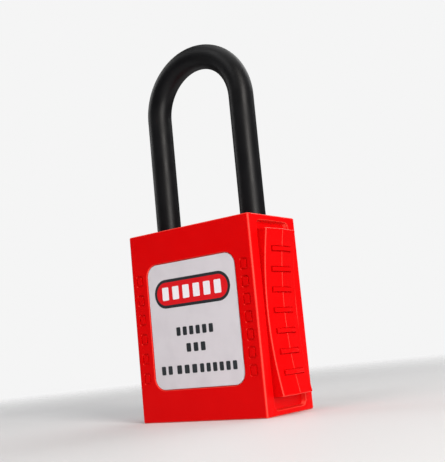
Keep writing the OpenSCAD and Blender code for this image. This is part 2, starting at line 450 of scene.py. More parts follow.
@dataclass(frozen=True)
class MouldedNylon(Finish):
    """Injection-moulded nylon: a fine grain eroded in the mould, faint flow, rubs from handling, painted edge
    highlights.
    """

    worn_colour: str = "#e0242a"
    gloss: float = 0.3
    flow: Patches = Patches(9.0, 3.0, 0.35, 0.75)
    flow_most: float = 0.4
    rub: Patches = Patches(5.0, 5.0, 0.3, 0.7)
    rub_shine: float = -0.05
    rub_dull: float = 0.07
    grain: Relief = Relief(0.45, 0.012, rough=0.6)
    # The rounded edges get a painted highlight: a paler colour that stands in for the light they catch. A
    # face starts to count as an edge where the largest part of its normal falls below the first value, and
    # counts in full at the second
    edge_highlight_colour: str | None = None
    edge_start: float = 0.97
    edge_full: float = 0.8
    edge_most: float = 0.85

    def pattern(self, tree: Tree, shader: Node, place: Socket) -> None:
        """Adds the flow and a painted highlight on the rounded edges in the colour, the rubs in the gloss,
        and the grain as bump.

        Args:
            tree: the material's tree.
            shader: the surface's shader.
            place: the coordinates that the pattern lies in.
        """
        shader.inputs["Specular IOR Level"].default_value = self.gloss
        self.tint(tree, shader, self.worn_colour, self.flow.mask(tree, place, most=self.flow_most))
        # Painted highlight: the rounded edges are tinted paler, standing in for the light that they catch
        if self.edge_highlight_colour:
            self.tint(tree, shader, self.edge_highlight_colour, self.edges(tree))
        rubbed = (self.roughness + self.rub_shine, self.roughness + self.rub_dull)
        self.vary(tree, shader, self.rub.mask(tree, place, *rubbed))
        self.grain.press(tree, shader, place)

    def edges(self, tree: Tree) -> Socket:
        """Adds a mask of the rounded edges, which face none of the three axes squarely, for the painted
        highlight.

        Args:
            tree: the material's tree.

        Returns:
            The mask.
        """
        facing = add(tree, "ShaderNodeTexCoord").outputs["Normal"]
        parts = add(tree, "ShaderNodeSeparateXYZ", facing).outputs
        most, *others = [add(tree, "ShaderNodeMath:ABSOLUTE", part).outputs[0] for part in parts]
        for part in others:
            most = add(tree, "ShaderNodeMath:MAXIMUM", most, part).outputs[0]
        levels = (most, self.edge_start, self.edge_full, 0.0, self.edge_most)
        return add(tree, "ShaderNodeMapRange", *levels).outputs[0]


@dataclass(frozen=True)
class PrintedFilm(Finish):
    """Printed polyester film: even and slightly soft, with a trace of orange peel and dust."""

    dust_colour: str = "#c4bfc6"
    dust: Patches = Patches(6.0, 6.0, 0.45, 0.8)
    dust_most: float = 0.5
    peel: Relief = Relief(1.6, 0.006, detail=1.0)

    def pattern(self, tree: Tree, shader: Node, place: Socket) -> None:
        """Adds faint dust in the colour and orange peel as bump."""
        self.tint(tree, shader, self.dust_colour, self.dust.mask(tree, place, most=self.dust_most))
        self.peel.press(tree, shader, place)


@dataclass(frozen=True)
class DieCast(Finish):
    """Die-cast zinc: dull, mottled where the metal chilled, with a sandy skin."""

    chill_colour: str = "#8e9196"
    chill: Patches = Patches(3.0, 5.0)
    sand: Relief = Relief(0.3, 0.02)

    def pattern(self, tree: Tree, shader: Node, place: Socket) -> None:
        """Adds the chill mottle in the colour and the sandy skin as bump."""
        self.tint(tree, shader, self.chill_colour, self.chill.mask(tree, place))
        self.sand.press(tree, shader, place)


@dataclass(frozen=True)
class Turned(Finish):
    """Metal turned on a lathe: fine rings round its axis, and a trace of tarnish."""

    tarnish_colour: str = "#8f7434"
    tarnish: Patches = Patches(4.0, 4.0, 0.4, 0.8)
    tarnish_most: float = 0.7
    ring: float = 0.25
    ring_depth: float = 0.01
    ring_strength: float = 0.6
    ring_wander: float = 0.4
    axis: str = "Z"

    def pattern(self, tree: Tree, shader: Node, place: Socket) -> None:
        """Adds tarnish in the colour and the tool's rings as bump.

        Args:
            tree: the material's tree.
            shader: the surface's shader.
            place: the coordinates that the pattern lies in.
        """
        self.tint(tree, shader, self.tarnish_colour, self.tarnish.mask(tree, place, most=self.tarnish_most))
        rings = add(tree, "ShaderNodeTexWave", {
            "wave_type": "RINGS", "rings_direction": self.axis, "Scale": WAVE_PERIOD / (self.ring * MM),
            "Distortion": self.ring_wander, "Vector": place,
        }).outputs[1]
        settings = {"Strength": self.ring_strength, "Distance": self.ring_depth * MM}
        bump = add(tree, "ShaderNodeBump", {**settings, "Height": rings}).outputs[0]
        tree.links.new(bump, shader.inputs["Normal"])


@dataclass(frozen=True)
class Drawn(Finish):
    """Drawn or rolled steel: bright, with faint streaks and grey patches of oil."""

    patch_colour: str = "#6f7277"
    stretch: tuple[float, float, float] = (1, 1, 0.15)
    streaks: Patches = Patches(0.5, 3.0)
    streak_shine: float = -0.06
    streak_dull: float = 0.08

    def pattern(self, tree: Tree, shader: Node, place: Socket) -> None:
        """Adds streaks that run along the piece, in the colour and in the gloss.

        Args:
            tree: the material's tree.
            shader: the surface's shader.
            place: the coordinates that the pattern lies in.
        """
        drawn = add(tree, "ShaderNodeMapping", {"Scale": self.stretch, "Vector": place}).outputs[0]
        self.tint(tree, shader, self.patch_colour, self.streaks.mask(tree, drawn))
        limits = (self.roughness + self.streak_shine, self.roughness + self.streak_dull)
        self.vary(tree, shader, self.streaks.mask(tree, drawn, *limits))


# ---------------------------------------------------------------- Geometry Nodes


class Recipe:
    """A Geometry Nodes tree with named sizes that ends in a plain mesh."""

    def __init__(self, name: str, **sizes: float | int) -> None:
        """Starts the tree with one named input for each size: an int is a count, a float is in metres.

        Args:
            name: the tree's name.
            sizes: the inputs, by name.
        """
        self.name = name
        self.tree = bpy.data.node_groups.new(name, "GeometryNodeTree")
        self.tree.interface.new_socket("Mesh", in_out="OUTPUT", socket_type="NodeSocketGeometry")
        self.values = {}
        for size, value in sizes.items():
            kind = "NodeSocketInt" if isinstance(value, int) else "NodeSocketFloat"
            socket = self.tree.interface.new_socket(size, in_out="INPUT", socket_type=kind)
            self.values[socket.identifier] = value
        self.sizes = self.tree.nodes.new("NodeGroupInput").outputs

    def put(self, kind: str, *given: object) -> Socket:
        """Adds a node of a geometry or a shader type, by the end of its name, for its first output."""
        known = hasattr(bpy.types, "GeometryNode" + kind)
        return add(self.tree, ("GeometryNode" if known else "ShaderNode") + kind, *given).outputs[0]

    def along(self, axis: str) -> Socket:
        """Each point's own place along an axis."""
        return self.put("SeparateXYZ", self.put("InputPosition")).node.outputs[axis]

    def round_frame(self) -> Socket:
        """Adds the outline of a rectangle with round corners, from the sizes Width, Height and Corner.

        Returns:
            The outline, as a curve.
        """
        sides = {"Width": self.sizes["Width"], "Height": self.sizes["Height"]}
        box = self.put("CurvePrimitiveQuadrilateral", sides)
        corners = {"mode": "POLY", "Count": RIM_STEPS, "Radius": self.sizes["Corner"]}
        return self.put("FilletCurve", {**corners, "Curve": box})

    def thread(self, line: Socket, profile: Socket) -> Socket:
        """Sweeps a profile along a line of points, with closed ends."""
        path = self.put("MeshToCurve", line)
        return self.put("CurveToMesh", {"Curve": path, "Profile Curve": profile, "Fill Caps": True})

    def row(self, count: Socket | int, end_names: Sequence[str], axis: str, **fixed: Socket) -> Socket:
        """Sets points in a straight row.

        Args:
            count: how many points.
            end_names: the sizes that hold the first and the last point's place along the axis.
            axis: the axis that the row runs along.
            fixed: the sizes that hold the row's place along the other axes, by axis.

        Returns:
            The points.
        """
        first, last = ({axis: self.sizes[name], **fixed} for name in end_names)
        return self.put("MeshLine", {
            "mode": "END_POINTS", "Count": count, "Start Location": self.put("CombineXYZ", first),
            "Offset": self.put("CombineXYZ", last),
        })

    def cook(self, shape: Socket, name: str, material: Material) -> Piece:
        """Ends the tree and turns what it makes into a plain mesh.

        Args:
            shape: the tree's last geometry.
            name: the new piece's name.
            material: its material.

        Returns:
            The new object.
        """
        whole = self.put("RealizeInstances", shape)
        made = self.put("SetMaterial", {"Material": material, "Geometry": whole})
        add(self.tree, "NodeGroupOutput", made)
        piece = new_piece(name, [], [])
        modifier = piece.modifiers.new(self.name, "NODES")
        modifier.node_group = self.tree
        for identifier, value in self.values.items():
            modifier[identifier] = value
        bake(piece)
        return piece


# ---------------------------------------------------------------- the padlock


@dataclass(frozen=True)
class Box:
    """The space that a CAD node fills at rest, in millimetres."""

    lo: Vector
    hi: Vector

    @classmethod
    def of(cls, node: str) -> "Box":
        """Reads the node's box from the frame."""
        lo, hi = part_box(node)
        return cls(lo / MM, hi / MM)

    @property
    def mid(self) -> Vector:
        """The middle of the box."""
        return (self.lo + self.hi) / 2

    @property
    def size(self) -> Vector:
        """The size of the box."""
        return self.hi - self.lo


def eased(low: float, high: float, radius: float, between: int, steps: int = 5) -> list[float]:
    """Places from low to high, close together near both ends, where an edge is rounded.

    Args:
        low: the first place.
        high: the last place.
        radius: how far each rounded edge reaches in.
        between: equal steps between the two edges.
        steps: steps in each edge.

    Returns:
        The places, rising.
    """
    edge = [radius * (1 - math.cos(i / steps * math.pi / 2)) for i in range(steps)]
    span = high - low - 2 * radius
    middle = [low + radius + span * i / between for i in range(between + 1)]
    return [low + e for e in edge] + middle + [high - e for e in reversed(edge)]


def drop(distance: float, radius: float) -> float:
    """How far a rounded edge lies below its face, at a distance in from the edge."""
    inside = max(radius - distance, 0.0)
    return radius - math.sqrt(radius**2 - inside**2)


def mound(
    name: str, across: list[float], along: list[float], height: Callable[[float, float], float], root: float,
    facing: Facing,
) -> Piece:
    """Makes a closed solid with a flat root and a top that follows a rule.

    Args:
        name: the piece's name.
        across: places along U.
        along: places along V.
        height: gives the top's level from U and V.
        root: level of the flat root.
        facing: the axis that it stands out along.

    Returns:
        The new object.
    """
    place = facing.matrix()
    wide, long = len(across), len(along)
    top = [place @ Vector((u, v, height(u, v))) for v in along for u in across]
    border = list(range(wide)) + [j * wide + wide - 1 for j in range(1, long)]
    border += [(long - 1) * wide + i for i in range(wide - 2, -1, -1)]
    border += [j * wide for j in range(long - 2, 0, -1)]
    flat = [place @ Vector((across[i % wide], along[i // wide], root)) for i in border]
    faces = [
        [j * wide + i, j * wide + i + 1, (j + 1) * wide + i + 1, (j + 1) * wide + i]
        for j in range(long - 1) for i in range(wide - 1)
    ]
    foot = len(top)
    for k, edge in enumerate(border):
        after = (k + 1) % len(border)
        faces.append([foot + k, foot + after, border[after], edge])
    faces.append([foot + k for k in reversed(range(len(border)))])
    return new_piece(name, top + flat, faces)


@dataclass
class Grip:
    """The recess and the ribbed pad on each side of the case, in millimetres."""

    recess_depth: float = 12.8
    recess_height: float = 42.4
    recess_middle: float = 22.4
    recess_in: float = 1.0
    slope_in: float = 0.3
    corner: float = 1.4
    mouth: float = 0.25
    pad_width: float = 12.0
    pad_foot: float = 4.1
    pad_head: float = 41.5
    pad_root: float = 0.3
    steps_across: int = 40
    steps_up: int = 80
    # The pad's face is nearest the middle at its waist, on a curve of radius hollow up the pad, and
    # slopes away on both sides of a soft ridge
    waist: float = 19.05
    waist_height: float = 23.3
    hollow: float = 92.0
    roof: float = math.tan(math.radians(5))
    ridge_soft: float = 0.5
    edge: float = 0.35
    rib_count: int = 7
    rib_first: float = 9.2
    rib_last: float = 36.9
    rib_length: float = 7.6
    rib_width: float = 0.9
    rib_proud: float = 0.38
    rib_points: int = 21
    # The narrow sunk line round each rib
    relief_room: float = 0.22
    relief_depth: float = 0.3
    seam_radius: float = 0.14
    seam_proud: float = 0.09
    seam_points: int = 60
    seam_sides: int = 10

    def surface(self, across: float, up: float) -> float:
        """Distance of the pad's face from the middle of the case, at a place across and up.

        Args:
            across: distance from the pad's middle line, along the case's depth.
            up: height above the case's foot.

        Returns:
            The distance, in millimetres.
        """
        ridge = self.waist + self.hollow - math.sqrt(self.hollow**2 - (up - self.waist_height) ** 2)
        fall = self.roof * (math.hypot(across, self.ridge_soft) - self.ridge_soft)
        side = min(self.pad_width / 2 - abs(across), self.edge)
        end = min(up - self.pad_foot, self.pad_head - up, self.edge)
        return ridge - fall - drop(side, self.edge) - drop(end, self.edge)

    def recess(self, facing: Facing, face: float) -> Piece:
        """The solid to cut out for the recess, with sloping walls and a rounded mouth.

        Args:
            facing: the side that it is in.
            face: distance of the case's side from its middle.

        Returns:
            The solid to cut out.
        """
        shape = growing_box(self.recess_depth, self.recess_height, self.corner)
        layers = [(shape(-self.slope_in), face - self.recess_in)]
        layers += rim(shape, self.mouth, face, 1)
        layers.append((shape(self.mouth), face + PAST))
        return solid("recess", layers, facing, (0, 0, self.recess_middle))

    def pad(self, facing: Facing, face: float) -> Piece:
        """The pad, rooted just below the floor of the recess.

        Args:
            facing: the side that it is on.
            face: distance of the case's side from its middle.

        Returns:
            The solid to add.
        """
        half = self.pad_width / 2
        across = eased(-half, half, self.edge, self.steps_across)
        along = eased(self.pad_foot, self.pad_head, self.edge, self.steps_up)
        return mound("pad", across, along, self.surface, face - self.recess_in - self.pad_root, facing)

    def start(self, name: str, inset: float, low: float, high: float, **sizes: float | int) -> Recipe:
        """Starts a recipe for something that stands on the pad's hollow curve, sunk by an inset."""
        return Recipe(
            name, Low=low * MM, High=high * MM, Inset=inset * MM, Waist=self.waist * MM,
            Middle=self.waist_height * MM, Hollow=self.hollow * MM, **sizes,
        )

    def hollowed(self, recipe: Recipe, count: Socket | int) -> Socket:
        """Sets points up the pad's hollow curve, less the inset.

        Args:
            recipe: the recipe, begun by start().
            count: how many points.

        Returns:
            The points.
        """
        size, put = recipe.sizes, recipe.put
        line = recipe.row(count, ("Low", "High"), "Z")
        rise = put("Math:SUBTRACT", recipe.along("Z"), size["Middle"])
        squares = [put("Math:POWER", side, 2.0) for side in (size["Hollow"], rise)]
        reach = put("Math:SQRT", put("Math:SUBTRACT", *squares))
        waist = put("Math:SUBTRACT", size["Waist"], size["Inset"])
        out = put("Math:ADD", waist, put("Math:SUBTRACT", size["Hollow"], reach))
        return put("SetPosition", {"Geometry": line, "Offset": put("CombineXYZ", out)})

    def cook(self, recipe: Recipe, shape: Socket, facing: Facing, material: Material) -> Piece:
        """Ends a recipe for the right side, turned by half a turn when it is for the left one.

        Args:
            recipe: the recipe, begun by start().
            shape: its last geometry, for the right side.
            facing: the side that it is for.
            material: its material.

        Returns:
            The new object.
        """
        half_turn = math.pi if facing is Facing.LEFT else 0.0
        placed = recipe.put("Transform", {"Rotation": (0, 0, half_turn), "Geometry": shape})
        return recipe.cook(placed, recipe.name, material)

    def ribs(self, facing: Facing, material: Material, room: float = 0.0) -> Piece:
        """The ribs across the pad: bars that follow its two slopes, set along its hollow curve.

        Args:
            facing: the side that they are on.
            material: their material.
            room: above zero for the solid to cut out first, this much larger all round than the ribs.

        Returns:
            The new object.
        """
        wide, half = self.rib_width + 2 * room, self.rib_length / 2 + room
        inset = self.relief_depth - wide / 2 if room else wide / 2 - self.rib_proud
        recipe = self.start(
            "grip_ribs", inset, self.rib_first, self.rib_last, Count=self.rib_count, Left=-half * MM,
            Right=half * MM, Width=wide * MM, Slope=self.roof, Soft=self.ridge_soft * MM,
        )
        size, put = recipe.sizes, recipe.put
        # One bar lies along Y and falls away on both sides of the middle
        line = recipe.row(self.rib_points, ("Left", "Right"), "Y")
        squares = [put("Math:POWER", side, 2.0) for side in (recipe.along("Y"), size["Soft"])]
        root = put("Math:SQRT", put("Math:ADD", *squares))
        fall = put("Math:MULTIPLY", put("Math:SUBTRACT", size["Soft"], root), size["Slope"])
        bent = put("SetPosition", {"Geometry": line, "Offset": put("CombineXYZ", fall)})
        square = put("CurvePrimitiveQuadrilateral", {"Width": size["Width"], "Height": size["Width"]})
        bar = recipe.thread(bent, square)
        bars = put("InstanceOnPoints", {"Points": self.hollowed(recipe, size["Count"]), "Instance": bar})
        return self.cook(recipe, bars, facing, material)

    def seam(self, facing: Facing, material: Material) -> Piece:
        """The fine line that the mould's parting left down the middle of the pad.

        Args:
            facing: the side that it is on.
            material: its material.

        Returns:
            The solid to add.
        """
        ends = self.pad_foot + self.edge, self.pad_head - self.edge
        recipe = self.start("seam", self.seam_radius - self.seam_proud, *ends, Radius=self.seam_radius * MM)
        profile = {"Resolution": self.seam_sides, "Radius": recipe.sizes["Radius"]}
        wire = recipe.put("CurvePrimitiveCircle", profile)
        line = self.hollowed(recipe, self.seam_points)
        return self.cook(recipe, recipe.thread(line, wire), facing, material)


@dataclass
class Case:
    """The one-piece moulded case, hollow as it is inside, in millimetres."""

    width: float = 36.4
    upright_edge: float = 0.6
    soft_edge: float = 0.35
    grip: Grip = field(default_factory=Grip)
    label_recess: float = 0.5
    label_gap: float = 0.15
    label_mouth: float = 0.22
    label_corner: float = 2.8
    leg_gap: float = 0.1
    toe_floor: float = 29.4
    heel_floor: float = 16.0
    ball_room: float = 2.85
    cam_room: float = 6.5
    cam_room_top: float = 39.9
    core_gap: float = 0.1
    cover_gap: float = 0.1
    cover_corner: float = 1.0
    peg_hole: float = 1.52
    peg_at: tuple[float, float] = (-12.5, 3.5)
    peg_top: float = 7.9
    screw_hole: float = 1.6
    leg_mouth: float = 0.35
    cover_mouth: float = 0.2
    cover_seat: float = 1.6
    core_corner: float = 0.2
    # How far one room reaches into the next, so that no skin is left between them
    overlap: float = 0.01
    small_sides: int = 32
    mark_width: float = 1.7
    mark_height: float = 2.3
    mark_corner: float = 0.4
    mark_groove: float = 0.44
    mark_across: float = 15.7
    mark_foot: float = 10.4
    mark_head: float = 33.8
    marks_left: int = 6
    marks_right: int = 7

    def build(self, nylon: Material) -> Piece:
        """Builds the case with everything that is moulded into it.

        Args:
            nylon: the case's material.

        Returns:
            The finished piece.
        """
        box, side = Box.of("case"), self.width / 2
        piece = self.block(box)
        for facing in (Facing.RIGHT, Facing.LEFT):
            combine(piece, self.grip.recess(facing, side), Join.CUT)
            combine(piece, self.grip.pad(facing, side), Join.ADD)
            combine(piece, self.grip.seam(facing, nylon), Join.ADD)
            combine(piece, self.grip.ribs(facing, nylon, self.grip.relief_room), Join.CUT)
            combine(piece, self.grip.ribs(facing, nylon), Join.ADD)
        for facing in (Facing.FRONT, Facing.BACK):
            combine(piece, self.label_room(facing, box), Join.CUT)
            for hand, count in ((-1, self.marks_left), (1, self.marks_right)):
                combine(piece, self.marks(facing, hand, count, box, nylon), Join.CUT)
        for room in self.rooms(box):
            combine(piece, room, Join.CUT)
        piece.name = piece.data.name = "case_shell"
        dress(piece, nylon)
        smooth(piece)
        return piece

    def block(self, box: Box) -> Piece:
        """The plain block, with soft edges all round.

        Args:
            box: the case's box.

        Returns:
            The solid to work on.
        """
        shape = growing_box(self.width, box.size.y, self.upright_edge)
        foot = rim(shape, self.soft_edge, box.lo.z, -1, face=-1)
        head = rim(shape, self.soft_edge, box.hi.z, -1)
        return solid("block", foot + head)

    def label_room(self, facing: Facing, box: Box) -> Piece:
        """The solid to cut out for a label's recess, with a rounded mouth.

        Args:
            facing: the face that it is in.
            box: the case's box.

        Returns:
            The solid to cut out.
        """
        label = Box.of("front_label")
        face, spare = box.size.y / 2, 2 * self.label_gap
        size = label.size.x + spare, label.size.z + spare
        shape = growing_box(*size, self.label_corner + self.label_gap)
        layers = [(shape(0), face - self.label_recess)] + rim(shape, self.label_mouth, face, 1)
        layers.append((shape(self.label_mouth), face + PAST))
        return solid("label_room", layers, facing, (0, 0, label.mid.z))

    def marks(self, facing: Facing, hand: int, count: int, box: Box, material: Material) -> Piece:
        """The square grooves of one column of plain frames, beside a label.

        Args:
            facing: the face that they are sunk in.
            hand: -1 for the column at the left of the label, 1 for the one at its right.
            count: how many frames stand in the column.
            box: the case's box.
            material: any material, since the solid is only cut out.

        Returns:
            The solid to cut out.
        """
        recipe = Recipe(
            "mark column", Count=count, Low=self.mark_foot * MM, High=self.mark_head * MM,
            Width=self.mark_width * MM, Height=self.mark_height * MM, Corner=self.mark_corner * MM,
            Groove=self.mark_groove * MM, Across=hand * self.mark_across * MM, Out=box.size.y / 2 * MM,
        )
        size, put = recipe.sizes, recipe.put
        row = recipe.row(size["Count"], ("Low", "High"), "Y", X=size["Across"], Z=size["Out"])
        groove = put("CurvePrimitiveQuadrilateral", {"Width": size["Groove"], "Height": size["Groove"]})
        mark = put("CurveToMesh", {"Curve": recipe.round_frame(), "Profile Curve": groove})
        piece = recipe.cook(put("InstanceOnPoints", {"Points": row, "Instance": mark}), "marks", material)
        piece.data.transform(facing.matrix())
        return piece

    def rooms(self, box: Box) -> Iterable[Piece]:
        """The solids to cut out for the legs, the balls, the cam, the core, the cover and the screw.

        Args:
            box: the case's box.

        Returns:
            The solids, one after the other.
        """
        shackle, core, cover = Box.of("shackle"), Box.of("lock_core"), Box.of("bottom_cover")
        ball, cam = Box.of("toe_ball"), Box.of("cam")
        rod = shackle.size.y / 2
        leg = shackle.hi.x - rod
        leg_hole = growing_circle(rod + self.leg_gap)
        mouth = rim(leg_hole, self.leg_mouth, box.hi.z, 1) + [(leg_hole(self.leg_mouth), box.hi.z + PAST)]
        yield solid("toe_hole", [(leg_hole(0), self.toe_floor)] + mouth, at=(leg, 0, 0))
        yield solid("heel_hole", [(leg_hole(0), self.heel_floor)] + mouth, at=(-leg, 0, 0))
        channel = circle(self.ball_room)
        layers = [(channel, PAST - leg), (channel, leg - PAST)]
        yield solid("channel", layers, Facing.RIGHT, (0, 0, ball.mid.z))
        room = circle(self.cam_room)
        layers = [(room, core.hi.z - self.overlap), (room, self.cam_room_top)]
        yield solid("cam_room", layers, at=(cam.mid.x, 0, 0))
        floor = cover.lo.z + self.cover_seat
        spare = 2 * self.core_gap
        room = rounded(core.size.x + spare, core.size.y + spare, self.core_corner, 2)
        yield solid("core_room", [(room, floor - self.overlap), (room, core.hi.z)], at=(core.mid.x, 0, 0))
        spare = 2 * self.cover_gap
        size = cover.size.x + spare, cover.size.y + spare
        cover_room = growing_box(*size, self.cover_corner + self.cover_gap)
        mouth = [(cover_room(self.cover_mouth), -PAST)] + rim(cover_room, self.cover_mouth, 0, 1, face=-1)
        yield solid("cover_room", mouth + [(cover_room(0), floor)])
        for y in (-self.peg_at[1], self.peg_at[1]):
            hole = circle(self.peg_hole, self.small_sides)
            yield solid("peg_room", [(hole, floor - PAST), (hole, self.peg_top)], at=(self.peg_at[0], y, 0))
        hole = circle(self.screw_hole, self.small_sides)
        yield solid("screw_room", [(hole, core.hi.z - PAST), (hole, self.toe_floor + PAST)], at=(leg, 0, 0))


@dataclass
class Cover:
    """The cover that closes the case underneath, in millimetres."""

    thickness: float = 1.6
    corner: float = 1.0
    edge: float = 0.2
    hole: float = 6.0
    peg: float = 1.5
    peg_sides: int = 32

    def build(self, nylon: Material, peg_at: tuple[float, float]) -> Piece:
        """Builds the cover with its hole for the plug and its two pegs.

        Args:
            nylon: the cover's material.
            peg_at: the place of one peg; the other is its mirror image, front to back.

        Returns:
            The finished piece.
        """
        box = Box.of("bottom_cover")
        plate, hole = growing_box(box.size.x, box.size.y, self.corner), growing_circle(self.hole)
        layers = rim(plate, self.edge, box.lo.z, -1, face=-1) + [(plate(0), self.thickness)]
        piece = solid("bottom_plate", layers)
        layers = [(hole(self.edge), -PAST)] + rim(hole, self.edge, box.lo.z, 1, face=-1)
        combine(piece, solid("hole", layers + [(hole(0), self.thickness + PAST)]), Join.CUT)
        for y in (-peg_at[1], peg_at[1]):
            outline = circle(self.peg, self.peg_sides)
            round_peg = [(outline, self.thickness - PAST), (outline, box.hi.z)]
            combine(piece, solid("peg", round_peg, at=(peg_at[0], y, 0)), Join.ADD)
        dress(piece, nylon)
        smooth(piece)
        return piece


@dataclass
class Shackle:
    """The moulded shackle, swept along its path, in millimetres."""

    toe_tip: float = 31.6
    tip: float = 0.7
    bend_foot: float = 75.0
    seat: float = 2.9
    seat_out: float = 8.95
    seat_height: float = 36.0
    lift: float = 15.0
    flat_depth: float = 0.65
    flat_corner: float = 0.2
    neck_depth: float = 0.8
    step: float = 0.3
    sides: int = 64

    def build(self, nylon: Material) -> Piece:
        """Builds the shackle with its ball seats, its flat and its neck.

        Args:
            nylon: the shackle's material.

        Returns:
            The finished piece.
        """
        box = Box.of("shackle")
        rod = box.size.y / 2
        leg = box.hi.x - rod
        piece = self.sweep(box, rod, leg, nylon)
        lifted = self.seat_height - self.lift
        out, up = self.seat_out, self.seat_height
        cuts = [(circle(self.seat), (x, 0, z)) for x, z in ((out, up), (-out, up), (-out, lifted))]
        middle = (lifted + self.seat_height) / 2
        flat = rounded(2 * rod, self.lift, self.flat_corner, 2)
        cuts.append((flat, (-leg + 2 * rod - self.flat_depth, 0, middle)))
        for outline, at in cuts:
            layers = [(outline, -2 * rod), (outline, 2 * rod)]
            combine(piece, solid("seat", layers, Facing.FRONT, at), Join.CUT)
        dress(piece, nylon)
        smooth(piece)
        return piece

    def sweep(self, box: Box, rod: float, leg: float, material: Material) -> Piece:
        """Sweeps the rod up the heel leg, over the bend and down the toe leg.

        Args:
            box: the shackle's box.
            rod: the rod's radius.
            leg: distance of each leg from the middle.
            material: the shackle's material.

        Returns:
            The swept rod, with chamfered tips and a neck near the heel's tip.
        """
        heel = self.bend_foot - box.lo.z
        length = heel + math.pi * leg + self.bend_foot - self.toe_tip
        recipe = Recipe(
            "shackle sweep", Points=round(length / self.step), Sides=self.sides, Start=0.0, End=length * MM,
            Heel=heel * MM, Foot=box.lo.z * MM, Bend=leg * MM, Rod=rod * MM, Tip=self.tip * MM,
            Neck=(self.seat_height - self.lift - box.lo.z) * MM, Depth=self.neck_depth * MM,
            Seat=self.seat * MM,
        )
        size, put = recipe.sizes, recipe.put
        line = recipe.row(size["Points"], ("Start", "End"), "Z")
        run = recipe.along("Z")
        # The path: straight up, half a turn about the bend's centre, and straight down
        past = put("Math:SUBTRACT", run, size["Heel"])
        turn = put("Math:MAXIMUM", put("Math:DIVIDE", past, size["Bend"]), 0.0)
        turn = put("Math:MINIMUM", turn, math.pi)
        x = put("Math:MULTIPLY", put("Math:MULTIPLY", put("Math:COSINE", turn), size["Bend"]), -1.0)
        down = put("Math:SUBTRACT", past, put("Math:MULTIPLY", size["Bend"], math.pi))
        down = put("Math:MAXIMUM", down, 0.0)
        up = put("Math:ADD", size["Foot"], put("Math:MINIMUM", run, size["Heel"]))
        up = put("Math:ADD", up, put("Math:MULTIPLY", put("Math:SINE", turn), size["Bend"]))
        z = put("Math:SUBTRACT", up, down)
        # The rod's radius: less at both tips, and hollowed at the neck
        left = put("Math:MINIMUM", run, put("Math:SUBTRACT", size["End"], run))
        tip = put("Math:MAXIMUM", put("Math:SUBTRACT", size["Tip"], left), 0.0)
        off = put("Math:SUBTRACT", run, size["Neck"])
        squares = [put("Math:POWER", side, 2.0) for side in (size["Seat"], off)]
        reach = put("Math:SQRT", put("Math:MAXIMUM", put("Math:SUBTRACT", *squares), 0.0))
        centre = put("Math:ADD", put("Math:SUBTRACT", size["Rod"], size["Depth"]), size["Seat"])
        radius = put("Math:SUBTRACT", size["Rod"], tip)
        radius = put("Math:MINIMUM", radius, put("Math:SUBTRACT", centre, reach))
        # The radius is kept on the points before they move, since it follows their first places
        kept = put("StoreNamedAttribute", {
            "data_type": "FLOAT", "domain": "POINT", "Name": "rod", "Geometry": line, "Value": radius,
        })
        bent = put("SetPosition", {"Geometry": kept, "Position": put("CombineXYZ", {"X": x, "Z": z})})
        width = put("InputNamedAttribute", {"data_type": "FLOAT", "Name": "rod"})
        profile = put("CurvePrimitiveCircle", {"Radius": 1.0, "Resolution": size["Sides"]})
        swept = recipe.thread(bent, profile)
        recipe.tree.links.new(width, swept.node.inputs["Scale"])
        return recipe.cook(swept, "shackle_rod", material)


